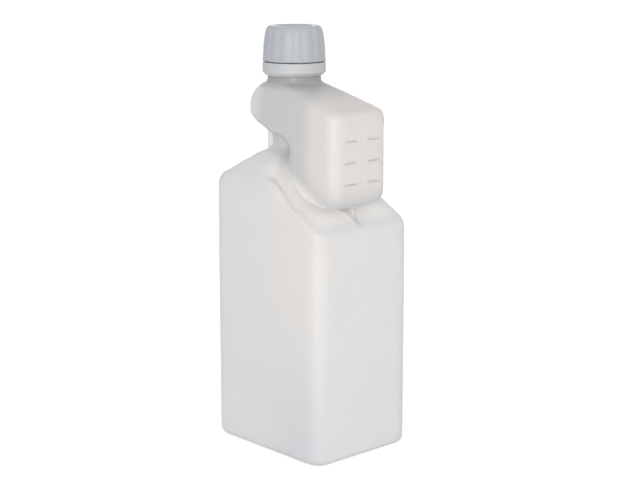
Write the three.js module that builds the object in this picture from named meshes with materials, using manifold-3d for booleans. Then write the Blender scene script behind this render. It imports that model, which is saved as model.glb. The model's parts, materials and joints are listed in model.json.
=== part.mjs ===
// Dosing bottle for a concentrate: one blow-moulded bottle with its dosing chamber moulded in, a fluted screw cap,
// the cap's parted tamper band and its sealing disc. Millimetres, +Z up. The origin is the centre of the base on
// the surface it stands on, and +X points to the end that the dosing chamber hangs over.
import * as THREE from "three";
import { mergeVertices } from "three/addons/utils/BufferGeometryUtils.js";
import Module from "manifold-3d";

const wasm = await Module();
wasm.setup();

// Blow-moulded wall, measured square to the surface.
const WALL = 1.1;

// Body: an upright box with round corners, standing on a flat rim round a raised base.
const BODY_LENGTH = 96;
const BODY_WIDTH = 77;
const BODY_CORNER = 9;
const FOOT_FILLET = 3;
const RIM_WIDTH = 6;
const BASE_RISE = 2;

// Shoulder: a hipped roof up to the riser at the back, and a long ramp to the front end.
const ROOF_EAVES = 164.5;
const ROOF_PITCH = 0.85;
const ROOF_RISE = 18.5;
const RAMP_PITCH = 0.54;
const RAMP_LENGTH = 31;
const RAMP_STEP_PITCH = 1;
const SHOULDER_FILLET = 4;
const HIP_BLEND = 5;
const CRADLE_BLEND = 11;

// Riser: the oval tube that lifts the liquid from the body to the head, on the axis of the neck.
const NECK_SETBACK = 33.2;
const RISER_LENGTH = 17;
const RISER_WIDTH = 28;
const RISER_STUB = 4;
const RISER_FLARE = 6.5;
const RISER_ROOT = 12;
const RISER_ROOT_INSET = 1;
const RISER_LAP = 4;

// Head: joins riser, chamber and neck under one sloping roof, and bulges out behind the riser.
const HEAD_HEIGHT = 28;
const HEAD_WIDTH = 40;
const HEAD_OVERHANG = 27.2;
const HEAD_BACK_EDGE = 14;
const BULGE_RISE = 10.5;
const CROWN_HEIGHT = 8.5;
const CROWN_OVERHANG = 20.2;
const LEAN_HEIGHT = 15.5;
const HEAD_TOP_WIDTH = 31;
const ROOF_LINE_SETBACK = 15.8;
const ROOF_LINE_PITCH = 0.31;
const BROW = 6;

// Dosing chamber: a flat-ended box whose underside sweeps up in one arc to its back.
const CHAMBER_SETBACK = 3.5;
const CHAMBER_LENGTH = 46.5;
const CHAMBER_WIDTH = 46;
const CHAMBER_DEPTH = 42;
const CHAMBER_SWEEP = 29;
const CHAMBER_EDGE = 8;
const CHAMBER_BACK_EDGE = 12;
const CHAMBER_NOTCH = 9.5;
const CRADLE_GAP = 3.2;
const CRADLE_EDGE = 2;
const RAMP_DROP = 12.1;

// Pinched web: the flat seam of squeezed wall that fills the notches in the parting plane.
const WEB_THICKNESS = 2;
const WEB_INSET = 0.8;
const WEB_SETBACK = 6;

// Raised graduation on the chamber's flat end.
const MARKS = 3;
const MARK_DROP = 1.2;
const MARK_SPACING = 12.65;
const MARK_LENGTH = 9.5;
const MARK_GAP = 9;
const MARK_THICKNESS = 0.9;
const MARK_RELIEF = 0.4;

// Neck: plain root, bead that holds the tamper band, and one screw thread.
const NECK_LENGTH = 30.5;
const NECK_FREE = 4.8;
const NECK_ROOT_RADIUS = 16.2;
const NECK_RADIUS = 15.6;
const NECK_WALL = 2;
const BEAD_PROUD = 1.1;
const BEAD_UNDERCUT = 1.1;
const BEAD_HEIGHT = 1.8;
const BEAD_ROUND = 0.4;
const BEAD_TAPER = 0.6;
const RIM_CHAMFER = 0.5;

// Screw thread, shared by neck and cap.
const THREAD_PITCH = 4.2;
const THREAD_DEPTH = 1.25;
const THREAD_BASE = 2.5;
const THREAD_CREST = 1.3;
const THREAD_ROOT = 0.6;
const THREAD_LEAD_IN = 5.4;
const THREAD_LEAD_OUT = 5.1;
const THREAD_CLEARANCE = 0.35;
const CAP_THREAD_TURNS = 1;

// Tamper band: stays under the bead when the bridges to the cap have parted.
const BAND_HEIGHT = 8.1;
const BAND_WALL = 1.6;
const BAND_CHAMFER = 2.2;
const BAND_CLEARANCE = 0.4;
const BAND_LIP_HEIGHT = 2.2;
const BAND_LIP_SLOPE = 0.8;
const BAND_TAPER = 0.1;
const BAND_SLIT = 0.6;
const BRIDGES = 12;
const BRIDGE_WIDTH = 1;
const BRIDGE_DEPTH = 0.8;
const BRIDGE_STUB = 0.25;

// Cap, with its flutes, and the sealing disc under its roof.
const CAP_SKIRT = 1.9;
const CAP_TAPER = 2.5;
const CAP_ROOF = 1.6;
const CAP_EDGE = 1.6;
const CAP_LAND = 5.4;
const CAP_RECESS_DEPTH = 0.9;
const FLUTES = 16;
const FLUTE_START = THREE.MathUtils.degToRad(-13.75);
const FLUTE_DEPTH = 0.55;
const DISC_THICKNESS = 1.1;
const DISC_OVERLAP = 0.2;
const DISC_CLEARANCE = 0.3;
const SEAT_GAP = 0.2;

// Places that follow from the sizes above
const BODY_END = BODY_LENGTH / 2;
const BODY_SIDE = BODY_WIDTH / 2;
const ROOF_TOP = ROOF_EAVES + ROOF_RISE;
const RISER_WAIST = ROOF_TOP + RISER_STUB;
const NECK_X = NECK_SETBACK - BODY_END;
const RISER_BACK = NECK_X - RISER_LENGTH / 2;
const HEAD_FLOOR = RISER_WAIST + RISER_FLARE;
const HEAD_TOP = HEAD_FLOOR + HEAD_HEIGHT;
const HEAD_BACK = NECK_X - HEAD_OVERHANG;
const BULGE_LOW = HEAD_FLOOR + BULGE_RISE;
const BULGE_HIGH = HEAD_TOP - CROWN_HEIGHT;
const CHAMBER_FRONT = BODY_END - CHAMBER_SETBACK;
const CHAMBER_BACK = CHAMBER_FRONT - CHAMBER_LENGTH;
const CHAMBER_BOTTOM = HEAD_FLOOR - CHAMBER_DEPTH;
const NOTCH_TOP = HEAD_FLOOR - CHAMBER_NOTCH;
const SWEEP_CENTRE_X = CHAMBER_BACK + CHAMBER_SWEEP;
const SWEEP_CENTRE_Z = CHAMBER_BOTTOM + CHAMBER_SWEEP;
const ROOF_LINE_START = NECK_X + ROOF_LINE_SETBACK;
const BROW_TOP = HEAD_TOP - (CHAMBER_FRONT - BROW - ROOF_LINE_START) * ROOF_LINE_PITCH;
const BROW_LOW = BROW_TOP - BROW;
const NECK_RIM = HEAD_TOP + NECK_LENGTH;
const BEAD_RADIUS = NECK_ROOT_RADIUS + BEAD_PROUD;
const BAND_BOTTOM = HEAD_TOP + NECK_FREE;
const BAND_LIP_TOP = BAND_BOTTOM + BAND_LIP_HEIGHT;
const BAND_TOP = BAND_BOTTOM + BAND_HEIGHT;
const BEAD_LOW = BAND_LIP_TOP + BEAD_UNDERCUT;
const CAP_BOTTOM = BAND_TOP + BAND_SLIT;
const THREAD_START = CAP_BOTTOM + THREAD_LEAD_IN;
const THREAD_TOP = NECK_RIM - THREAD_LEAD_OUT;
const NECK_THREAD_TURNS = (THREAD_TOP - THREAD_BASE / 2 - THREAD_START) / THREAD_PITCH;
const CAP_BORE = NECK_RADIUS + THREAD_DEPTH + THREAD_CLEARANCE;
const CAP_BASE_RADIUS = CAP_BORE + CAP_SKIRT;
const CAP_TOP_RADIUS = CAP_BASE_RADIUS - CAP_TAPER;
const DISC_RADIUS = NECK_RADIUS + DISC_OVERLAP;
const CAP_CEILING = NECK_RIM + DISC_THICKNESS + 2 * SEAT_GAP;
const CAP_TOP = CAP_CEILING + CAP_ROOF + CAP_RECESS_DEPTH;

const COLOURS = { bottle: 0xdededc, cap: 0xc3c9cf, disc: 0xf1f2f0 };
const TURN = 2 * Math.PI;

// Solids and geometries

function solidOf(geometry) {
  const bare = geometry.clone();
  bare.deleteAttribute("normal");
  bare.deleteAttribute("uv");
  const merged = mergeVertices(bare, 1e-4);
  return new wasm.Manifold(
    new wasm.Mesh({
      numProp: 3,
      vertProperties: new Float32Array(merged.attributes.position.array),
      triVerts: new Uint32Array(merged.index.array),
    }),
  );
}

function geometryOf(solid) {
  const mesh = solid.getMesh();
  const geometry = new THREE.BufferGeometry();
  geometry.setAttribute("position", new THREE.BufferAttribute(mesh.vertProperties, 3));
  geometry.setIndex(new THREE.BufferAttribute(mesh.triVerts, 1));
  geometry.computeVertexNormals();
  return geometry;
}

// A closed skin over rings of equally many points, each counter-clockwise from above, from the lowest to the highest.
// Each end is closed by a fan, but for a top that columns of points close.
function skin(rings, topColumns) {
  const count = rings[0].length;
  const last = (rings.length - 1) * count;
  const points = rings.flat();
  const faces = [];
  const strip = (lower, upper) => {
    for (let i = 0; i + 1 < lower.length; i++) {
      faces.push(lower[i], lower[i + 1], upper[i + 1], lower[i], upper[i + 1], upper[i]);
    }
  };
  const loop = (first) => Array.from({ length: count + 1 }, (_, i) => first + (i % count));
  for (let first = 0; first < last; first += count) {
    strip(loop(first), loop(first + count));
  }
  const fan = (first, turned) => {
    const ring = points.slice(first, first + count);
    points.push(ring.reduce((sum, p) => sum.add(p), new THREE.Vector3()).divideScalar(count));
    for (let i = 0; i < count; i++) {
      const edge = [first + i, first + ((i + 1) % count)];
      faces.push(points.length - 1, ...(turned ? edge.reverse() : edge));
    }
  };
  fan(0, true);
  if (topColumns) {
    const rows = topColumns(points, last, count);
    rows.slice(1).forEach((row, k) => strip(row, rows[k]));
  } else {
    fan(last, false);
  }
  const geometry = new THREE.BufferGeometry().setFromPoints(points);
  geometry.setIndex(faces);
  geometry.computeVertexNormals();
  return geometry;
}

// The same skin moved inwards, square to its surface: the cavity that leaves a wall of that thickness.
function hollow(geometry, thickness) {
  const inner = geometry.clone();
  const position = inner.attributes.position;
  const normal = geometry.attributes.normal;
  for (let i = 0; i < position.count; i++) {
    const p = new THREE.Vector3().fromBufferAttribute(position, i);
    const n = new THREE.Vector3().fromBufferAttribute(normal, i);
    p.addScaledVector(n, -thickness);
    position.setXYZ(i, p.x, p.y, p.z);
  }
  return inner;
}

// A level outline with four round corners. Back and front ends have their own half width and corner radius,
// and sideSteps and endSteps divide the straight stretches.
function outline(z, back, front, backHalf, frontHalf, backEdge, frontEdge, cornerSteps, sideSteps, endSteps) {
  const corners = [
    [front - frontEdge, frontHalf - frontEdge, frontEdge, 0, sideSteps],
    [back + backEdge, backHalf - backEdge, backEdge, 1, endSteps],
    [back + backEdge, -backHalf + backEdge, backEdge, 2, sideSteps],
    [front - frontEdge, -frontHalf + frontEdge, frontEdge, 3, endSteps],
  ];
  const ring = [];
  corners.forEach(([cx, cy, radius, quarter, steps], k) => {
    for (let i = 0; i <= cornerSteps; i++) {
      const angle = ((quarter + i / cornerSteps) * Math.PI) / 2;
      ring.push(new THREE.Vector3(cx + radius * Math.cos(angle), cy + radius * Math.sin(angle), z));
    }
    const [nx, ny, nextRadius, nextQuarter] = corners[(k + 1) % 4];
    const start = ring.at(-1);
    const nextAngle = (nextQuarter * Math.PI) / 2;
    const end = new THREE.Vector3(
      nx + nextRadius * Math.cos(nextAngle),
      ny + nextRadius * Math.sin(nextAngle),
      z,
    );
    for (let i = 1; i < steps; i++) {
      ring.push(start.clone().lerp(end, i / steps));
    }
  });
  return ring;
}

const circleDrop = (radius, distance) => radius - Math.sqrt(Math.max(0, radius ** 2 - (radius - distance) ** 2));

const blendMin = (a, b, reach) => {
  const h = THREE.MathUtils.clamp(0.5 + (0.5 * (b - a)) / reach, 0, 1);
  return THREE.MathUtils.lerp(b, a, h) - reach * h * (1 - h);
};

// Body and shoulder

const BODY_CORNER_STEPS = 5;
const BODY_SIDE_STEPS = 26;
const BODY_END_STEPS = 8;

function bodyOutline(z, inset) {
  const edge = Math.max(BODY_CORNER - inset, 1);
  const half = BODY_SIDE - inset;
  const end = BODY_END - inset;
  return outline(z, -end, end, half, half, edge, edge, BODY_CORNER_STEPS, BODY_SIDE_STEPS, BODY_END_STEPS);
}

// Under the chamber the shoulder keeps a steady gap from the sweep of the chamber's back.
function cradleHeight(x) {
  const radius = CHAMBER_SWEEP + CRADLE_GAP;
  const reach = THREE.MathUtils.clamp(SWEEP_CENTRE_X - x, 0, radius);
  const past = Math.max(0, SWEEP_CENTRE_X - radius - x);
  return SWEEP_CENTRE_Z - Math.sqrt(radius ** 2 - reach ** 2) + 2 * past;
}

// Height of the shoulder over a point of the plan, without the fillet along its edge.
function shoulderHeight(x, y) {
  const side = BODY_SIDE - Math.abs(y);
  const slope = ROOF_EAVES + ROOF_PITCH * blendMin(x + BODY_END, side, HIP_BLEND);
  const roof = blendMin(slope, ROOF_TOP, HIP_BLEND);
  const along = BODY_END - x;
  const ramp = CHAMBER_BOTTOM - RAMP_DROP + RAMP_PITCH * along;
  const flank = ramp + RAMP_STEP_PITCH * Math.max(0, along - RAMP_LENGTH);
  const outside = THREE.MathUtils.smoothstep(Math.abs(y), CHAMBER_WIDTH / 2 - CRADLE_EDGE, BODY_SIDE - CRADLE_EDGE);
  const front = THREE.MathUtils.lerp(blendMin(flank, cradleHeight(x), HIP_BLEND), flank, outside);
  return blendMin(roof, front, CRADLE_BLEND);
}

function bodyGeometry() {
  const rim = FOOT_FILLET + RIM_WIDTH;
  const rings = [bodyOutline(BASE_RISE, rim + 3 * BASE_RISE), bodyOutline(0, rim)];
  for (let i = 0; i <= 3; i++) {
    const angle = (i / 3) * (Math.PI / 2);
    rings.push(bodyOutline(FOOT_FILLET * (1 - Math.cos(angle)), FOOT_FILLET * (1 - Math.sin(angle))));
  }
  for (let i = 0; i <= 4; i++) {
    const inset = SHOULDER_FILLET * (1 - Math.cos((i / 4) * (Math.PI / 2)));
    const drop = circleDrop(SHOULDER_FILLET, inset);
    rings.push(bodyOutline(0, inset).map((p) => p.setZ(shoulderHeight(p.x, p.y) - drop)));
  }
  return skin(rings, shoulderColumns);
}

// Columns of points across the shoulder, from the side of +Y to its mirror image, first and last along the two ends.
function shoulderColumns(points, first, count) {
  const across = BODY_END_STEPS;
  const ends = count / 2 - across;
  const inner = (k) => {
    const left = points[first + k];
    const right = points[first + count - across - k];
    const row = Array.from({ length: across - 1 }, (_, j) => {
      const p = left.clone().lerp(right, (j + 1) / across);
      return points.push(p.setZ(shoulderHeight(p.x, p.y))) - 1;
    });
    return [first + k, ...row, first + count - across - k];
  };
  const end = (turn) => Array.from({ length: across + 1 }, (_, j) => first + turn(j));
  const rows = [end((j) => (count - j) % count)];
  for (let k = 1; k < ends; k++) {
    rows.push(inner(k));
  }
  return [...rows, end((j) => ends + j)];
}

// Dosing chamber and head, one loft of level sections

const roofLine = (z) => ROOF_LINE_START + (HEAD_TOP - z) / ROOF_LINE_PITCH;

function chamberFront(z) {
  if (z < CHAMBER_BOTTOM + CHAMBER_EDGE) {
    return CHAMBER_FRONT - circleDrop(CHAMBER_EDGE, z - CHAMBER_BOTTOM);
  }
  if (z < BROW_LOW) {
    return CHAMBER_FRONT;
  }
  if (z < BROW_TOP) {
    return CHAMBER_FRONT - circleDrop(BROW, BROW_TOP - z);
  }
  return roofLine(z);
}

const chamberBack = (z) =>
  CHAMBER_BACK + (z < SWEEP_CENTRE_Z ? circleDrop(CHAMBER_SWEEP, z - CHAMBER_BOTTOM) : 0);

// The back runs up the chamber, out under the head to the riser, and round the bulge behind it.
function headBack(z) {
  if (z < NOTCH_TOP) {
    return chamberBack(z);
  }
  if (z < HEAD_FLOOR) {
    const rise = (z - NOTCH_TOP) / CHAMBER_NOTCH;
    return THREE.MathUtils.lerp(RISER_BACK, chamberBack(z), Math.sqrt(1 - rise ** 2));
  }
  if (z < BULGE_LOW) {
    const rise = (z - HEAD_FLOOR) / BULGE_RISE;
    return THREE.MathUtils.lerp(RISER_BACK, HEAD_BACK, Math.sin((rise * Math.PI) / 2));
  }
  const rise = Math.max(0, (z - BULGE_HIGH) / CROWN_HEIGHT);
  return THREE.MathUtils.lerp(HEAD_BACK, NECK_X - CROWN_OVERHANG, rise ** 1.6);
}

// Share of the way from the foot of the leaning sides to the top.
const leanShare = (z) => Math.max(0, (z - HEAD_TOP + LEAN_HEIGHT) / LEAN_HEIGHT) ** 1.5;

function headHalf(z) {
  const share = THREE.MathUtils.smoothstep(z, NOTCH_TOP, BULGE_LOW);
  const full = THREE.MathUtils.lerp(CHAMBER_WIDTH / 2, HEAD_WIDTH / 2, share);
  return THREE.MathUtils.lerp(full, HEAD_TOP_WIDTH / 2, leanShare(z));
}

function chamberHalf(z) {
  const half = CHAMBER_WIDTH / 2 - circleDrop(CHAMBER_EDGE, Math.min(CHAMBER_EDGE, z - CHAMBER_BOTTOM));
  return THREE.MathUtils.lerp(half, HEAD_TOP_WIDTH / 2, leanShare(z));
}

function headSection(z) {
  const inChamber = z < NOTCH_TOP;
  const back = headBack(z);
  const front = chamberFront(z);
  const backHalf = inChamber ? chamberHalf(z) : headHalf(z);
  const frontHalf = chamberHalf(z);
  const frontEdge = Math.min(CHAMBER_EDGE, frontHalf - 1, (front - back) / 2 - 1);
  const wanted = inChamber ? CHAMBER_BACK_EDGE : HEAD_BACK_EDGE;
  const backEdge = Math.min(wanted, backHalf - 1, front - frontEdge - back - 1);
  return outline(z, back, front, backHalf, frontHalf, backEdge, frontEdge, 5, 3, 2);
}

function headGeometry() {
  const between = (low, high, shares) => shares.map((share) => THREE.MathUtils.lerp(low, high, share));
  const levels = [
    ...between(CHAMBER_BOTTOM, NOTCH_TOP, [0.004, 0.022, 0.06, 0.13, 0.25, 0.4, 0.58, 0.8]),
    ...between(NOTCH_TOP, HEAD_FLOOR, [0, 0.35, 0.65, 0.88]),
    ...between(HEAD_FLOOR, BULGE_LOW, [0, 0.14, 0.32, 0.55, 0.8]),
    ...between(BROW_LOW, BROW_TOP, [0, 0.5, 0.85]),
    ...between(BROW_TOP, HEAD_TOP, [0, 0.3, 0.55, 0.8, 1]),
  ];
  levels.sort((a, b) => a - b);
  return skin(levels.filter((z, i) => i === 0 || z - levels[i - 1] > 0.1).map(headSection));
}

// Riser, flared at its foot and into the head

function riserSection(z, widen) {
  const half = RISER_WIDTH / 2 + widen;
  const front = NECK_X + RISER_LENGTH / 2;
  return outline(z, RISER_BACK - widen, front, half, half, RISER_LENGTH / 2 + widen / 2, RISER_LENGTH / 2 - 1, 6, 1, 2);
}

function riserGeometry() {
  const rings = [riserSection(ROOF_TOP - RISER_ROOT, RISER_FLARE - RISER_ROOT_INSET)];
  for (const degrees of [-84, -62, -40, -20, 0, 20, 40]) {
    const angle = THREE.MathUtils.degToRad(degrees);
    rings.push(riserSection(RISER_WAIST + RISER_FLARE * Math.sin(angle), RISER_FLARE * (1 - Math.cos(angle))));
  }
  rings.push(riserSection(HEAD_FLOOR + RISER_LAP, 0));
  return skin(rings);
}

// Pinched web in the parting plane

function webSolid() {
  const plate = (x0, x1, z0, z1) => {
    const box = new THREE.BoxGeometry(x1 - x0, WEB_THICKNESS, z1 - z0);
    return solidOf(box.translate((x0 + x1) / 2, 0, (z0 + z1) / 2));
  };
  const back = plate(HEAD_BACK + WEB_INSET, NECK_X, ROOF_EAVES, BULGE_LOW);
  const front = plate(NECK_X, CHAMBER_FRONT - WEB_SETBACK, CHAMBER_BOTTOM - RAMP_DROP, HEAD_FLOOR + WALL);
  return back.add(front);
}

// Screw thread: one ridge that climbs with the pitch and runs out at both ends. Outwards is 1 on the neck
// and -1 inside the cap.
function threadSolid(radius, outwards, start, turns) {
  const steps = Math.max(12, Math.round(turns * 36));
  const root = radius - outwards * THREAD_ROOT;
  const rings = [];
  for (let i = 0; i <= steps; i++) {
    const share = i / steps;
    const angle = share * turns * TURN;
    const runOut = Math.min(1, share * turns * 8, (1 - share) * turns * 8);
    const crest = radius + outwards * Math.max(0.02, THREAD_DEPTH * runOut);
    const z = start + (THREAD_PITCH * angle) / TURN;
    const at = (r, rise) => new THREE.Vector3(r * Math.cos(angle), r * Math.sin(angle), z + rise);
    const section = [
      at(root, -THREAD_BASE / 2),
      at(crest, -THREAD_CREST / 2),
      at(crest, THREAD_CREST / 2),
      at(root, THREAD_BASE / 2),
    ];
    rings.push(outwards > 0 ? section.reverse() : section);
  }
  return solidOf(skin(rings));
}

// Neck: turned profile with the bore open at the rim

function lathe(points, steps = 48) {
  const profile = points.map(([r, z]) => new THREE.Vector2(r, z));
  return new THREE.LatheGeometry([...profile, profile[0].clone()], steps).rotateX(Math.PI / 2);
}

function neckSolid() {
  const foot = HEAD_TOP - CROWN_HEIGHT / 2;
  const bead = BEAD_LOW + BEAD_HEIGHT;
  const post = lathe([
    [0, foot],
    [NECK_ROOT_RADIUS, foot],
    [NECK_ROOT_RADIUS, BAND_LIP_TOP + SEAT_GAP],
    [BEAD_RADIUS, BEAD_LOW],
    [BEAD_RADIUS - BEAD_ROUND, bead - BEAD_TAPER],
    [NECK_RADIUS, bead],
    [NECK_RADIUS, NECK_RIM - RIM_CHAMFER],
    [NECK_RADIUS - RIM_CHAMFER, NECK_RIM],
    [0, NECK_RIM],
  ]);
  return solidOf(post).add(threadSolid(NECK_RADIUS, 1, THREAD_START, NECK_THREAD_TURNS));
}

// Marks: short raised bars, in pairs with a gap between them
function markSolids() {
  return Array.from({ length: 2 * MARKS }, (_, i) => {
    const bar = new THREE.BoxGeometry(2 * MARK_RELIEF, MARK_LENGTH, MARK_THICKNESS);
    const side = i % 2 ? 1 : -1;
    const z = HEAD_FLOOR - MARK_DROP - Math.floor(i / 2) * MARK_SPACING;
    return solidOf(bar.translate(CHAMBER_FRONT, (side * (MARK_LENGTH + MARK_GAP)) / 2, z));
  });
}

function bottleGeometry() {
  const bore = lathe([
    [0, HEAD_TOP - CROWN_HEIGHT / 2],
    [NECK_RADIUS - NECK_WALL, HEAD_TOP - CROWN_HEIGHT / 2],
    [NECK_RADIUS - NECK_WALL, NECK_RIM + 1],
    [0, NECK_RIM + 1],
  ]);
  let outer = neckSolid().translate([NECK_X, 0, 0]).add(webSolid());
  let cavity = solidOf(bore).translate([NECK_X, 0, 0]);
  for (const shell of [bodyGeometry(), headGeometry(), riserGeometry()]) {
    outer = outer.add(solidOf(shell));
    cavity = cavity.add(solidOf(hollow(shell, WALL)));
  }
  for (const mark of markSolids()) {
    outer = outer.add(mark);
  }
  return geometryOf(outer.subtract(cavity));
}

// Cap

const FLUTE_STEPS = 6;

function fluteRing(z, radius, depth) {
  return Array.from({ length: FLUTES * FLUTE_STEPS }, (_, i) => {
    const angle = FLUTE_START + (i / (FLUTES * FLUTE_STEPS)) * TURN;
    const groove = 0.5 - 0.5 * Math.cos((i / FLUTE_STEPS) * TURN);
    const r = radius - depth * groove ** 2;
    return new THREE.Vector3(r * Math.cos(angle), r * Math.sin(angle), z);
  });
}

function capGeometry() {
  const shoulder = CAP_TOP - CAP_EDGE;
  const recess = CAP_TOP_RADIUS - CAP_LAND;
  const outside = [
    fluteRing(CAP_BOTTOM, CAP_BASE_RADIUS - 0.3, 0),
    fluteRing(CAP_BOTTOM + 0.3, CAP_BASE_RADIUS, 0),
    fluteRing(CAP_BOTTOM + 1, CAP_BASE_RADIUS, 0),
    fluteRing(CAP_BOTTOM + 1.6, CAP_BASE_RADIUS - 0.04 * CAP_TAPER, FLUTE_DEPTH),
    fluteRing((CAP_BOTTOM + shoulder) / 2, CAP_BASE_RADIUS - 0.2 * CAP_TAPER, FLUTE_DEPTH),
    fluteRing(shoulder - 3, CAP_BASE_RADIUS - 0.56 * CAP_TAPER, FLUTE_DEPTH),
    fluteRing(shoulder, CAP_BASE_RADIUS - 0.92 * CAP_TAPER, FLUTE_DEPTH * 0.8),
    fluteRing(shoulder + CAP_EDGE * 0.6, CAP_TOP_RADIUS - 0.25 * CAP_EDGE, FLUTE_DEPTH * 0.3),
    fluteRing(CAP_TOP, CAP_TOP_RADIUS - CAP_EDGE, 0),
    fluteRing(CAP_TOP, recess, 0),
    fluteRing(CAP_TOP - CAP_RECESS_DEPTH, recess - 0.5, 0),
  ];
  const seat = DISC_RADIUS + DISC_CLEARANCE;
  const cavity = lathe([
    [0, CAP_BOTTOM - 1],
    [CAP_BORE, CAP_BOTTOM - 1],
    [CAP_BORE, THREAD_TOP + SEAT_GAP],
    [seat, THREAD_TOP + SEAT_GAP + CAP_BORE - seat],
    [seat, CAP_CEILING],
    [0, CAP_CEILING],
  ]);
  const thread = threadSolid(CAP_BORE, -1, THREAD_START - THREAD_PITCH / 2, CAP_THREAD_TURNS);
  return geometryOf(solidOf(skin(outside)).subtract(solidOf(cavity)).add(thread));
}

// Tamper band, with the stubs of the bridges that tied it to the cap

function bandGeometry() {
  const lip = NECK_ROOT_RADIUS + BAND_CLEARANCE;
  const bore = BEAD_RADIUS + BAND_CLEARANCE;
  const radius = bore + BAND_WALL;
  let band = solidOf(
    lathe([
      [lip, BAND_BOTTOM],
      [radius - BAND_CHAMFER, BAND_BOTTOM],
      [radius, BAND_BOTTOM + BAND_CHAMFER],
      [radius - BAND_TAPER, BAND_TOP],
      [bore, BAND_TOP],
      [bore, BAND_LIP_TOP + BAND_LIP_SLOPE],
      [lip, BAND_LIP_TOP],
    ]),
  );
  for (let i = 0; i < BRIDGES; i++) {
    const stub = new THREE.BoxGeometry(BRIDGE_DEPTH, BRIDGE_WIDTH, 2 * BRIDGE_STUB);
    stub.translate((bore + radius) / 2, 0, BAND_TOP);
    band = band.add(solidOf(stub.rotateZ((i / BRIDGES) * TURN)));
  }
  return geometryOf(band);
}

// Sealing disc under the cap's roof

function discGeometry() {
  return lathe([
    [0, NECK_RIM + SEAT_GAP],
    [DISC_RADIUS, NECK_RIM + SEAT_GAP],
    [DISC_RADIUS, CAP_CEILING - SEAT_GAP],
    [0, CAP_CEILING - SEAT_GAP],
  ]);
}

const plastic = (colour, roughness) =>
  new THREE.MeshStandardMaterial({ color: colour, roughness, metalness: 0 });

function piece(name, geometry, material, x = 0) {
  const mesh = new THREE.Mesh(geometry, material);
  mesh.name = name;
  mesh.position.x = x;
  return mesh;
}

const dosingBottle = new THREE.Group();
const capPlastic = plastic(COLOURS.cap, 0.45);
dosingBottle.add(
  piece("bottle", bottleGeometry(), plastic(COLOURS.bottle, 0.38)),
  piece("screw_cap", capGeometry(), capPlastic, NECK_X),
  piece("tamper_band", bandGeometry(), capPlastic, NECK_X),
  piece("sealing_disc", discGeometry(), plastic(COLOURS.disc, 0.7), NECK_X),
);

export default dosingBottle;
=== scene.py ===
import json
import math

import bmesh
import bpy
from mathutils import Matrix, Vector

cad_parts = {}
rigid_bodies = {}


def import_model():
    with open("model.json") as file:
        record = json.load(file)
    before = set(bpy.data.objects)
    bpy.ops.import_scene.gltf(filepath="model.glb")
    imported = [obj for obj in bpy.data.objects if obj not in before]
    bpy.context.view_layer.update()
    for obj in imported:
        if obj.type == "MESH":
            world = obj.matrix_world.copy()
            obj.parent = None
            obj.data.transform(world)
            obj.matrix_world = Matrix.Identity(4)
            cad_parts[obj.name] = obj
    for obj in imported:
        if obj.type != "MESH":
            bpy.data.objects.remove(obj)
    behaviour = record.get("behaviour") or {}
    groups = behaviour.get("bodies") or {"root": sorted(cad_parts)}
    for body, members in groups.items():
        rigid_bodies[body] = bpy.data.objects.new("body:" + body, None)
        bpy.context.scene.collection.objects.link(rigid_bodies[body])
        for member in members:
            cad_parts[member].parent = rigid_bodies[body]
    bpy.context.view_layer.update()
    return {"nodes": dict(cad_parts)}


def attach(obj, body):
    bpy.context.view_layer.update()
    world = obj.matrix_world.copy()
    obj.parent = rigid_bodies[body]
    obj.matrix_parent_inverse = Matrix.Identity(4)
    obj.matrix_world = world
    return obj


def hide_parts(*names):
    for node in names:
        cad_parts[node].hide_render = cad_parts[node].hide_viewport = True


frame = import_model()
bpy.context.scene.view_settings.view_transform = "Standard"

# Camera
# The picture is taken a little from above, towards the upright edge between the wide side and the
# chamber's end.

CAMERA_PLACE = (0.6838, -0.62337, 0.32255)
CAMERA_YAW = math.radians(47.3)
CAMERA_TILT = math.radians(12)
FOCAL_PIXELS = 1540.5
IMAGE_WIDTH = 640
SENSOR_MM = 36

lens = bpy.data.cameras.new("camera")
lens.sensor_width = SENSOR_MM
lens.lens = FOCAL_PIXELS / IMAGE_WIDTH * SENSOR_MM
camera = bpy.data.objects.new("camera", lens)
bpy.context.collection.objects.link(camera)
camera.location = CAMERA_PLACE
camera.rotation_euler = (math.pi / 2 - CAMERA_TILT, 0, CAMERA_YAW)
bpy.context.scene.camera = camera

# Bottle
# One blow-moulded shell of natural polyethylene, milky and a little see-through. The mould rounds every
# edge and every join between body, riser, head and chamber, so the outside is remeshed and eased. The neck
# keeps its form.

SKIN_VOXEL = 0.00105
SKIN_EASING = 10
EASING_FACTOR = 0.5
CREASE_EASING = 24
CREASE_LOW = 0.125
HEAD_SLANT = 0.62
HEAD_START = 0.166
NECK_SPLIT = 0.2276
NECK_CUT = 0.2268
NECK_AXIS_X = -0.0148
BORE_LIMIT = 0.015
WELD = 1e-6
SHARP_ANGLE = 50
CHAMBER_END_X = 0.0445
MARK_ROWS = 3
MARK_TOP = 0.1923
MARK_SPACING = 0.01265
MARK_MIDDLE = 0.00925
MARK_SIZE = (0.0006, 0.0095, 0.0009)
MARK_ROUND = 0.00025
MARK_SEGMENTS = 3


def only(*pieces):
    """Selects these pieces alone."""
    if bpy.context.object and bpy.context.object.mode != "OBJECT":
        bpy.ops.object.mode_set(mode="OBJECT")
    bpy.ops.object.select_all(action="DESELECT")
    for piece in pieces:
        piece.select_set(True)
    bpy.context.view_layer.objects.active = pieces[0]


def copy_of(node, name):
    """A copy of a CAD node, with the loose triangles of its surface joined."""
    source = frame["nodes"][node]
    piece = bpy.data.objects.new(name, source.data.copy())
    bpy.context.collection.objects.link(piece)
    only(piece)
    bpy.ops.object.mode_set(mode="EDIT")
    bpy.ops.mesh.select_all(action="SELECT")
    bpy.ops.mesh.remove_doubles(threshold=WELD)
    bpy.ops.mesh.select_all(action="DESELECT")
    return piece


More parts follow.
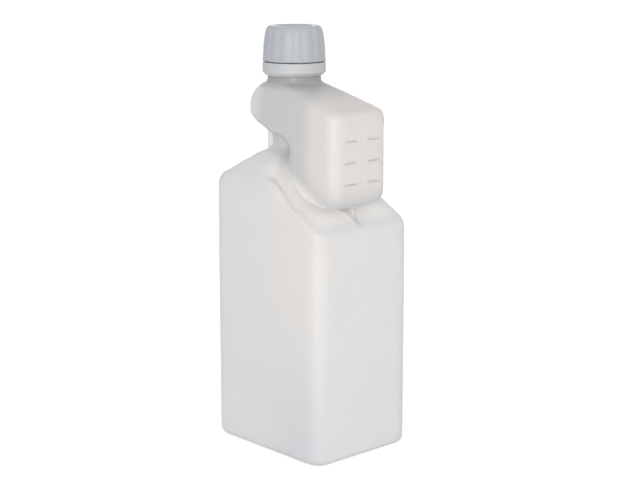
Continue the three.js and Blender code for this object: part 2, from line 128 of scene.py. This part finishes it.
def pick(piece, kind, wanted):
    """Selects, in edit mode, the vertices, edges or faces for which wanted is true."""
    bpy.ops.mesh.select_mode(type=kind)
    mesh = bmesh.from_edit_mesh(piece.data)
    bpy.ops.mesh.select_all(action="DESELECT")
    for element in {"VERT": mesh.verts, "EDGE": mesh.edges, "FACE": mesh.faces}[kind]:
        if wanted(element):
            element.select = True
    mesh.select_flush_mode()
    bmesh.update_edit_mesh(piece.data)


def eased(piece, voxel, easing):
    """Remeshes a closed piece evenly and rounds its edges."""
    only(piece)
    piece.data.remesh_voxel_size = voxel
    bpy.ops.object.voxel_remesh()
    bpy.ops.object.mode_set(mode="EDIT")
    bpy.ops.mesh.select_all(action="SELECT")
    bpy.ops.mesh.vertices_smooth(factor=EASING_FACTOR, repeat=easing)
    bpy.ops.object.mode_set(mode="OBJECT")


def from_axis(point):
    """How far a point lies from the neck's axis."""
    return math.hypot(point.x - NECK_AXIS_X, point.y)


def outside_split(edge):
    """Whether an edge lies on the neck's split, and on its outside."""
    return all(abs(v.co.z - NECK_SPLIT) < WELD and from_axis(v.co) > BORE_LIMIT for v in edge.verts)


# The outside below the neck is parted from the rest, and remeshed by itself.
bottle = copy_of("bottle", "bottle_shell")
bpy.ops.mesh.select_all(action="SELECT")
bpy.ops.mesh.bisect(plane_co=(0, 0, NECK_SPLIT), plane_no=(0, 0, 1))
pick(bottle, "EDGE", outside_split)
bpy.ops.mesh.edge_split(type="EDGE")
lowest = min(v.co.z for v in bmesh.from_edit_mesh(bottle.data).verts)
pick(bottle, "VERT", lambda v: v.co.z < lowest + WELD)
bpy.ops.mesh.select_linked()
bpy.ops.mesh.separate(type="SELECTED")
bpy.ops.object.mode_set(mode="OBJECT")
skin = next(o for o in bpy.context.selected_objects if o != bottle)

# The shoulder, with its crease under the chamber, is eased further. Then the skin rejoins the neck.
only(skin)
bpy.ops.object.mode_set(mode="EDIT")
pick(skin, "EDGE", lambda e: e.is_boundary)
bpy.ops.mesh.edge_face_add()
eased(skin, SKIN_VOXEL, SKIN_EASING)
bpy.ops.object.mode_set(mode="EDIT")
pick(skin, "VERT", lambda v: v.co.z > CREASE_LOW and v.co.z + HEAD_SLANT * v.co.x < HEAD_START)
bpy.ops.mesh.vertices_smooth(factor=EASING_FACTOR, repeat=CREASE_EASING)
bpy.ops.mesh.select_all(action="SELECT")
bpy.ops.mesh.bisect(plane_co=(0, 0, NECK_CUT), plane_no=(0, 0, 1), clear_outer=True)
only(bottle, skin)
bpy.ops.object.join()
bpy.ops.object.mode_set(mode="EDIT")
pick(bottle, "EDGE", lambda e: e.is_boundary)
bpy.ops.mesh.bridge_edge_loops()
bpy.ops.object.mode_set(mode="OBJECT")
bpy.ops.object.shade_smooth_by_angle(angle=math.radians(SHARP_ANGLE))

# The graduation is raised on the chamber's end, on both sides of the parting line.
for row in range(MARK_ROWS):
    for side in (-1, 1):
        place = (CHAMBER_END_X, side * MARK_MIDDLE, MARK_TOP - row * MARK_SPACING)
        bpy.ops.object.select_all(action="DESELECT")
        bpy.ops.mesh.primitive_cube_add(size=1, location=place, scale=MARK_SIZE)
        mark = bpy.context.object
        bpy.ops.object.transform_apply(location=True, rotation=True, scale=True)
        bpy.ops.object.mode_set(mode="EDIT")
        bpy.ops.mesh.select_all(action="SELECT")
        bpy.ops.mesh.bevel(offset=MARK_ROUND, segments=MARK_SEGMENTS, affect="EDGES")
        bpy.ops.object.mode_set(mode="OBJECT")
        bpy.ops.object.shade_smooth()
        only(bottle, mark)
        bpy.ops.object.join()


def linear(red, green, blue):
    """The scene's own value of a colour that is given as it looks on a screen, each channel from 0 to 255."""
    def channel(value):
        share = value / 255
        return share / 12.92 if share <= 0.04045 else ((share + 0.055) / 1.055) ** 2.4
    return (channel(red), channel(green), channel(blue), 1)


class Signal:
    """One output of a finish's nodes."""

    def __init__(self, finish, socket):
        self.finish = finish
        self.socket = socket

    def maths(self, operation, first, second=0.0):
        return self.finish.node("ShaderNodeMath", {"operation": operation}, {0: first, 1: second})

    def __add__(self, other):
        return self.maths("ADD", self, other)

    __radd__ = __add__

    def __sub__(self, other):
        return self.maths("SUBTRACT", self, other)

    def __rsub__(self, other):
        return self.maths("SUBTRACT", other, self)

    def __mul__(self, other):
        return self.maths("MULTIPLY", self, other)

    __rmul__ = __mul__

    def size(self):
        return self.maths("ABSOLUTE", self)

    def least(self, other):
        return self.maths("MINIMUM", self, other)

    def fade(self, low, high):
        """0 below low and 1 above high, with a soft step between them."""
        settings = {"interpolation_type": "SMOOTHSTEP"}
        return self.finish.node("ShaderNodeMapRange", settings, {0: self, 1: low, 2: high})


class Finish:
    """A material with one principled shader."""

    def __init__(self, name, **sockets):
        self.material = bpy.data.materials.new(name)
        self.material.use_nodes = True
        self.tree = self.material.node_tree
        self.shader = self.tree.nodes["Principled BSDF"]
        self.place = self.node("ShaderNodeTexCoord", {}, {}, "Object")
        for title, value in sockets.items():
            self.shader.inputs[title.replace("_", " ")].default_value = value

    def node(self, kind, settings, values, output=0):
        made = self.tree.nodes.new(kind)
        for setting, value in settings.items():
            setattr(made, setting, value)
        for key, value in values.items():
            self.feed(made.inputs[key], value)
        return Signal(self, made.outputs[output])

    def feed(self, socket, value):
        if isinstance(value, Signal):
            self.tree.links.new(value.socket, socket)
        else:
            socket.default_value = value

    def axes(self):
        split = self.tree.nodes.new("ShaderNodeSeparateXYZ")
        self.feed(split.inputs[0], self.place)
        return [Signal(self, output) for output in split.outputs]

    def noise(self, scale, detail=2.0, roughness=0.5, stretch=(1, 1, 1)):
        """Noise with features one metre over scale long, drawn out along an axis by a stretch under 1."""
        vector = self.node("ShaderNodeMapping", {}, {"Vector": self.place, "Scale": stretch})
        values = {"Vector": vector, "Scale": scale, "Detail": detail, "Roughness": roughness}
        return self.node("ShaderNodeTexNoise", {}, values)

    def blend(self, share, first, second):
        settings = {"data_type": "RGBA"}
        return self.node("ShaderNodeMix", settings, {0: share, 6: first, 7: second}, 2)

    def surface(self, colour, roughness, height, depth):
        """Feeds the colour, the roughness and a bump whose full height is depth metres."""
        self.feed(self.shader.inputs["Base Color"], colour)
        self.feed(self.shader.inputs["Roughness"], roughness)
        bump = self.node("ShaderNodeBump", {}, {"Height": height, "Distance": depth, "Strength": 1.0})
        self.feed(self.shader.inputs["Normal"], bump)

    def put_on(self, piece):
        piece.data.materials.clear()
        piece.data.materials.append(self.material)


HEAD_END = 0.18
NECK_START = 0.217
NECK_END = 0.224
SWEEP_X = 0.036
SWEEP_Z = 0.1805
SWEEP_RADIUS = 0.029
SWEEP_INSIDE = 0.1
SWEEP_OUTSIDE = 0.75
SWEEP_FLATNESS = 0.6
CHAMBER_SIDE = 0.023
BODY_SIDE = 0.0385
CORNER_BACK = -0.02
CORNER_FRONT = 0.03
CORNER_INNER = 0.024
CORNER_OUTER = 0.037
WARM_LOW = 0.04
WARM_HIGH = 0.13
COOL_LOW = 0.01
COOL_HIGH = 0.09
COOL_SHARE = 0.7
CRADLE_BACK = -0.016
CRADLE_FADE = 0.02
CRADLE_LOW = 0.139
CRADLE_RISE = 0.008
WEB_HALF = 0.001
SEAM_HALF = 0.0002
SEAM_FOOT = 0.0007
BULGE_X = -0.034
BULGE_FADE = 0.014
NOTCH_BACK = BULGE_X + 0.008
NOTCH_FRONT = BULGE_X + 0.012
NOTCH_LOW = 0.178
NOTCH_LOW_FADE = 0.004
NOTCH_HIGH = 0.194
NOTCH_HIGH_FADE = 0.002
CLOUD_SCALE = 14
STREAK_SCALE = 170
STREAK_STRETCH = (1, 1, 0.05)
PEEL_SCALE = 900
SHEEN_SCALE = 60
SKIN_DEPTH = 0.00025
BODY_MILK = linear(224, 224, 226), linear(235, 233, 231)
# A painted warm highlight and a painted cool shade for the body's two upright edges.
PAINTED_WARM_HIGHLIGHT = linear(236, 229, 222)
PAINTED_COOL_SHADE = linear(216, 216, 221)
# The chamber's paler tone is a painted highlight; the head's grey also serves as painted shade on the
# chamber's back.
CHAMBER_HIGHLIGHT_MILK = linear(223, 216, 211), linear(236, 228, 222)
HEAD_MILK_AND_SHADE = linear(201, 202, 203), linear(210, 210, 209)
# Painted light on the back of the head, where it faces the light.
BULGE_PAINTED_LIGHT = linear(230, 230, 229)
# The neck is darker for its doubled wall, and as painted shade where less light reaches it.
NECK_MILK_AND_SHADE = linear(166, 166, 165)
# Painted light through the thin web and into the hollow, and painted shade on the web in the hollow.
NOTCH_WEB_PAINTED_LIGHT = linear(240, 240, 240)
HOLLOW_PAINTED_LIGHT = linear(240, 238, 235)
HOLLOW_WEB_SHADE = linear(196, 195, 193)
BLACK = (0, 0, 0, 1)
PAINTED_CRADLE_GLOW = (0.1, 0.096, 0.092, 1)

natural = Finish(
    "natural_polyethylene",
    IOR=1.5,
    Subsurface_Weight=0.35,
    Subsurface_Radius=(1.0, 0.9, 0.8),
    Subsurface_Scale=0.004,
    Emission_Strength=1.0,
)
across, sideways, up = natural.axes()
clouds = natural.noise(CLOUD_SCALE, 3)
streaks = natural.noise(STREAK_SCALE, 2, 0.6, STREAK_STRETCH)
peel = natural.noise(PEEL_SCALE, 2)
sheen = natural.noise(SHEEN_SCALE, 3)
seam = 1 - sideways.size().fade(SEAM_HALF, SEAM_FOOT)
thickness = 0.85 * clouds + 0.15 * streaks

# The filled body is the milkiest, with a painted warm highlight along its two upright edges below the
# chamber and a painted cool shade at their feet. The empty chamber has a painted highlight at its front
# and top, and is greyest, as painted shade, along the sweep of its back.
full = 1 - (up + HEAD_SLANT * across).fade(HEAD_START, HEAD_END)
behind = (across - SWEEP_X).least(0)
beneath = (up - SWEEP_Z).least(0)
distance = behind * behind + SWEEP_FLATNESS * beneath * beneath
sweep_shade = distance.fade((SWEEP_INSIDE * SWEEP_RADIUS) ** 2, (SWEEP_OUTSIDE * SWEEP_RADIUS) ** 2)
near_corner = across.fade(CORNER_BACK, CORNER_FRONT) * sideways.size().fade(CORNER_INNER, CORNER_OUTER)
# A warm highlight painted on the upper edges, and a cool shade painted at their feet.
warm_highlight = near_corner * up.fade(WARM_LOW, WARM_HIGH)
cool_shade = (1 - up.fade(COOL_LOW, COOL_HIGH)) * near_corner
body_milk_and_painted_light = natural.blend(thickness, *BODY_MILK)
body_milk_and_painted_light = natural.blend(warm_highlight, body_milk_and_painted_light, PAINTED_WARM_HIGHLIGHT)
body_milk_and_painted_light = natural.blend(COOL_SHARE * cool_shade, body_milk_and_painted_light, PAINTED_COOL_SHADE)
# The chamber is painted lighter at its front as a highlight, and fades to the head's grey as painted shade.
chamber_highlight_milk = natural.blend(thickness, *CHAMBER_HIGHLIGHT_MILK)
# The back of the head is painted lighter, as light falls on it.
bulge = 1 - across.fade(BULGE_X, BULGE_X + BULGE_FADE)
head_milk_and_shade = natural.blend(thickness, *HEAD_MILK_AND_SHADE)
head_milk_and_shade = natural.blend(bulge, head_milk_and_shade, BULGE_PAINTED_LIGHT)
# The bottle's colour: its milky tone, with the painted highlights and shades above.
milk_and_painted_light = natural.blend(full, natural.blend(sweep_shade, chamber_highlight_milk, head_milk_and_shade), body_milk_and_painted_light)
# The neck darkens, partly for its thicker wall and partly as painted shade.
milk_and_painted_light = natural.blend(up.fade(NECK_START, NECK_END), milk_and_painted_light, NECK_MILK_AND_SHADE)

# Light that comes through the milky walls is painted into the hollow under the chamber, as a paler colour
# and a glow against its shadow. The web in the hollow is painted in shade, and the thin web at the back of
# the head is painted lighter where light shines through it.
hollow = full * (1 - sideways.size().fade(CHAMBER_SIDE, BODY_SIDE))
hollow = hollow * up.fade(CRADLE_LOW, CRADLE_LOW + CRADLE_RISE)
hollow = hollow * across.fade(CRADLE_BACK, CRADLE_BACK + CRADLE_FADE)
web = 1 - sideways.size().fade(WEB_HALF, 3 * WEB_HALF)
notch = up.fade(NOTCH_LOW, NOTCH_LOW + NOTCH_LOW_FADE)
notch = notch * (1 - up.fade(NOTCH_HIGH, NOTCH_HIGH + NOTCH_HIGH_FADE))
notch = notch * (1 - across.fade(NOTCH_BACK, NOTCH_FRONT))
milk_and_painted_light = natural.blend(notch * web, milk_and_painted_light, NOTCH_WEB_PAINTED_LIGHT)
milk_and_painted_light = natural.blend(hollow * (1 - web), milk_and_painted_light, HOLLOW_PAINTED_LIGHT)
milk_and_painted_light = natural.blend(hollow * web, milk_and_painted_light, HOLLOW_WEB_SHADE)
painted_glow = natural.blend(hollow * (1 - web), BLACK, PAINTED_CRADLE_GLOW)
natural.feed(natural.shader.inputs["Emission Color"], painted_glow)

height = 0.2 * peel + 0.08 * streaks + 0.3 * clouds + 0.15 * seam
natural.surface(milk_and_painted_light, 0.3 + 0.14 * sheen, height, SKIN_DEPTH)
natural.put_on(bottle)
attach(bottle, "bottle")
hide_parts("bottle")

# Screw cap
# Moulded in a light bluish grey, with broad ribs to grip and a shallow round recess in its top.

CAP_VOXEL = 0.00034
CAP_EASING = 3
CAP_SUBSURFACE = 0.08
CAP_GREY = linear(175, 181, 187), linear(186, 190, 195)
GRAIN_SCALE = 2600
GRAIN_DEPTH = 0.00006
FLOW_SCALE = 90
FLOW_STRETCH = (1, 1, 0.3)


def moulded(name, subsurface, dark, light):
    """Injection-moulded plastic, with a fine grain and the faint marks of its flow in the mould."""
    plastic = Finish(
        name,
        IOR=1.5,
        Subsurface_Weight=subsurface,
        Subsurface_Radius=(1.0, 1.0, 1.0),
        Subsurface_Scale=0.001,
    )
    grain = plastic.noise(GRAIN_SCALE, 2)
    flow = plastic.noise(FLOW_SCALE, 2, 0.5, FLOW_STRETCH)
    colour = plastic.blend(flow, dark, light)
    plastic.surface(colour, 0.36 + 0.1 * flow, 0.6 * grain + 0.4 * flow, GRAIN_DEPTH)
    return plastic


cap = copy_of("screw_cap", "fluted_cap")
eased(cap, CAP_VOXEL, CAP_EASING)
bpy.ops.object.shade_smooth_by_angle(angle=math.radians(SHARP_ANGLE))

moulded("moulded_grey", CAP_SUBSURFACE, *CAP_GREY).put_on(cap)
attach(cap, "cap")
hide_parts("screw_cap")

# Tamper band
# The ring that parts from the cap at the first opening, and stays under the neck's bead. The same plastic,
# but paler where the light comes through its thin wall.

BAND_VOXEL = 0.0003
BAND_EASING = 2
BAND_SUBSURFACE = 0.1
BAND_GREY = linear(191, 194, 197), linear(200, 202, 204)

band = copy_of("tamper_band", "parted_band")
eased(band, BAND_VOXEL, BAND_EASING)
bpy.ops.object.shade_smooth_by_angle(angle=math.radians(SHARP_ANGLE))

moulded("moulded_pale_grey", BAND_SUBSURFACE, *BAND_GREY).put_on(band)
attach(band, "bottle")
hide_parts("tamper_band")

# Sealing disc
# Cut from foamed sheet and pressed into the cap's roof, where it seals on the neck's rim.

CELL_SCALE = 2200.0
CELL_DEPTH = 0.0001
TONE_SCALE = 300
FOAM_WHITE = linear(236, 236, 233), linear(245, 245, 243)

foam = Finish("foam_sheet", IOR=1.45)
cells = foam.node("ShaderNodeTexVoronoi", {}, {"Vector": foam.place, "Scale": CELL_SCALE})
tone = foam.blend(foam.noise(TONE_SCALE), *FOAM_WHITE)
foam.surface(tone, 0.7 + 0.1 * cells, cells, CELL_DEPTH)
foam.put_on(frame["nodes"]["sealing_disc"])

# Floor and light
# A plain pale floor that the camera sees as white, apart from the bottle's soft shadow. Soft light comes
# from beside the camera, from the right and from behind, and the room's even light fills in.

FLOOR_SIZE = 12.0
FLOOR_DROP = 0.0002
FLOOR_TONE = (0.9, 0.9, 0.9, 1)
FLOOR_GLOW = (0.42, 0.42, 0.41, 1)
TOOTH_SCALE = 900
TOOTH_DEPTH = 0.0001
ROOM_TONE = (0.69, 0.695, 0.705, 1)
WHITE = (1, 1, 1, 1)
LIT_POINT = (0, 0, 0.12)

bpy.ops.object.select_all(action="DESELECT")
bpy.ops.mesh.primitive_plane_add(size=FLOOR_SIZE, location=(0, 0, -FLOOR_DROP))
floor = bpy.context.object
floor.name = "floor"
paper = Finish("paper_floor", Specular_IOR_Level=0.2, Emission_Strength=1.0)
tooth = paper.noise(TOOTH_SCALE, 2)
paper.surface(FLOOR_TONE, 0.8 + 0.1 * tooth, tooth, TOOTH_DEPTH)
camera_ray = paper.node("ShaderNodeLightPath", {}, {}, "Is Camera Ray")
paper.feed(paper.shader.inputs["Emission Color"], paper.blend(camera_ray, BLACK, FLOOR_GLOW))
paper.put_on(floor)


def soft_lamp(name, place, size, watts, colour=(1, 1, 1)):
    """A square lamp, its side in metres, that points at the middle of the bottle."""
    light = bpy.data.lights.new(name, "AREA")
    light.size = size
    light.energy = watts
    light.color = colour
    lamp = bpy.data.objects.new(name, light)
    bpy.context.collection.objects.link(lamp)
    lamp.location = place
    lamp.rotation_euler = (Vector(LIT_POINT) - Vector(place)).to_track_quat("-Z", "Y").to_euler()


soft_lamp("front", (0.82, -0.9, 0.45), 0.35, 4.9, (1, 0.97, 0.94))
soft_lamp("right", (1.15, -0.1, 0.5), 0.5, 1.0, (1, 0.98, 0.96))
soft_lamp("behind", (-1.1, 0.95, 0.2), 0.6, 3.5)

world = bpy.data.worlds.new("studio")
bpy.context.scene.world = world
world.use_nodes = True
sky = world.node_tree
seen = sky.nodes.new("ShaderNodeLightPath")
hue = sky.nodes.new("ShaderNodeMix")
hue.data_type = "RGBA"
hue.inputs[6].default_value = ROOM_TONE
hue.inputs[7].default_value = WHITE
sky.links.new(seen.outputs["Is Camera Ray"], hue.inputs[0])
sky.links.new(hue.outputs[2], sky.nodes["Background"].inputs["Color"])
